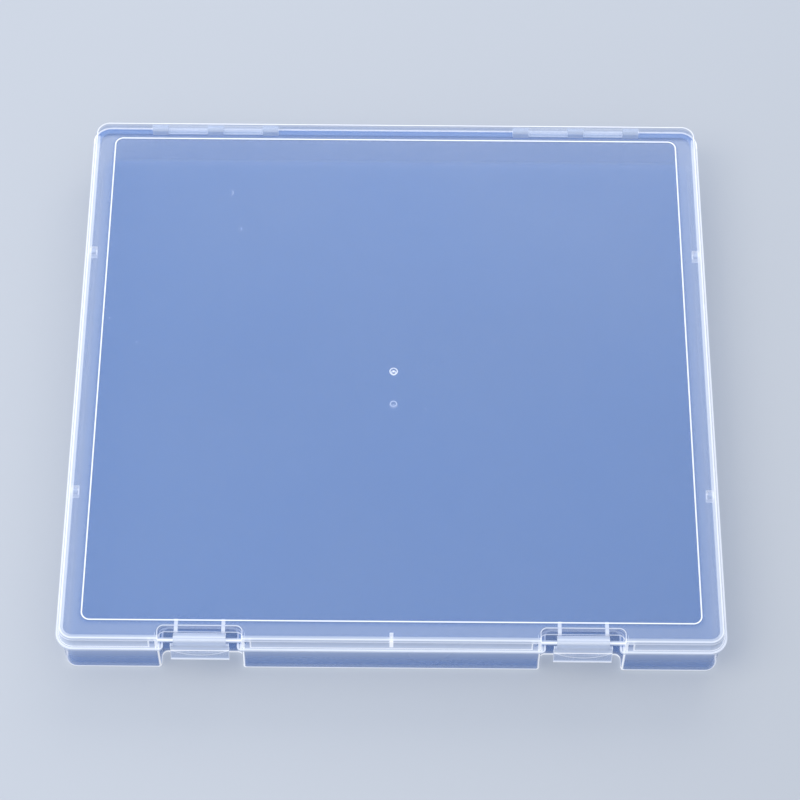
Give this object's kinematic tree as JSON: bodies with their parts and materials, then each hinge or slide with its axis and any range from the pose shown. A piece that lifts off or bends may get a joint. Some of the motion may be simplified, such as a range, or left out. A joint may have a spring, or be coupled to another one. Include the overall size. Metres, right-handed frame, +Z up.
{
  "type": "clear storage box",
  "caption": "Flat clear plastic storage box with a hinged lid, a raised stacking ridge and snap latches that clip over the front of the base.",
  "frame": {"origin": "on the resting face under the floor, below the middle of the flange outline", "axes": "+X to the right as seen from the latches, +Y from the latches at the front to the hinges at the back, +Z up"},
  "size_m": [0.3516, 0.3429, 0.0358],
  "materials": {
    "base_plastic": "clear, slightly hazy polypropylene, smooth moulded surface",
    "lid_plastic": "clear, slightly hazy polypropylene, smooth moulded surface with light scuffs",
    "latch_plastic": "clear polypropylene, smooth moulded surface"
  },
  "bodies": {
    "base": {"base": "base_plastic"},
    "lid": {"lid": "lid_plastic"},
    "left_latch": {"left_latch": "latch_plastic"},
    "right_latch": {"right_latch": "latch_plastic"}
  },
  "joints": [
    {"name": "lid_hinge", "type": "hinge", "parent": "base", "child": "lid", "pos_m": [0, 0.1679, 0.0298], "axis": [-1, 0, 0], "range_deg": [0, 110]},
    {"name": "left_latch_hinge", "type": "hinge", "parent": "lid", "child": "left_latch", "pos_m": [-0.1, -0.1668, 0.0312], "axis": [-1, 0, 0], "range_deg": [0, 120]},
    {"name": "right_latch_hinge", "type": "hinge", "parent": "lid", "child": "right_latch", "pos_m": [0.1, -0.1668, 0.0312], "axis": [-1, 0, 0], "range_deg": [0, 120]}
  ]
}
